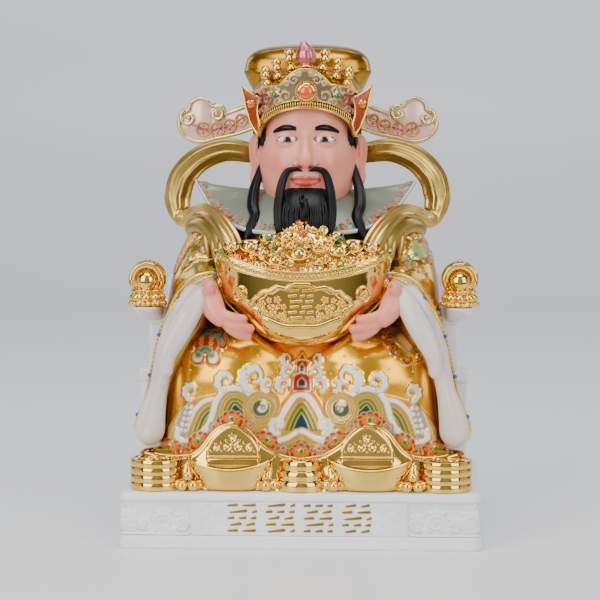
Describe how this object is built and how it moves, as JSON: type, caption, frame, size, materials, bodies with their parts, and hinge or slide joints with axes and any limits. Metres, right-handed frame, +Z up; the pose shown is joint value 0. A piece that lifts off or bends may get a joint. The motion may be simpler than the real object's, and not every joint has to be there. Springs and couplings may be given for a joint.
{
  "type": "caishen figure",
  "caption": "Seated god-of-wealth figurine in a gold robe on a white throne and plinth, holding a large gold ingot heaped with treasure.",
  "frame": {"origin": "middle of the plinth's underside", "axes": "+Z up, the figure faces -Y, +X to the viewer's right"},
  "size_m": [0.3, 0.21, 0.4203],
  "materials": {
    "white_resin": "white marble-like resin, satin",
    "gold_plate": "electroplated mirror gold on resin",
    "robe_gold": "gold lacquer under clear gloss, with painted waves, clouds and flowers",
    "scarf_gold": "satin pale gold lacquer",
    "crown_gold": "satin gold lacquer",
    "crown_bronze": "champagne and copper lacquer on raised scrolls",
    "wing_cream": "pale pink enamel with ivory-gold edge",
    "lining_white": "white enamel, satin",
    "skin": "pink flesh enamel, satin",
    "hair_black": "black enamel, glossy, grooved",
    "collar_sage": "pearl sage enamel with a painted scroll border",
    "gem_red": "glossy orange-red enamel"
  },
  "bodies": {
    "root": {"plinth": "white_resin", "throne": "white_resin", "throne_finial_left": "gold_plate", "throne_finial_right": "gold_plate", "foot_treasure": "gold_plate", "held_ingot": "gold_plate", "figure": "robe_gold", "scarf": "scarf_gold", "crown": "crown_gold", "crown_wing_left": "wing_cream", "crown_wing_right": "wing_cream"}
  },
  "joints": []
}
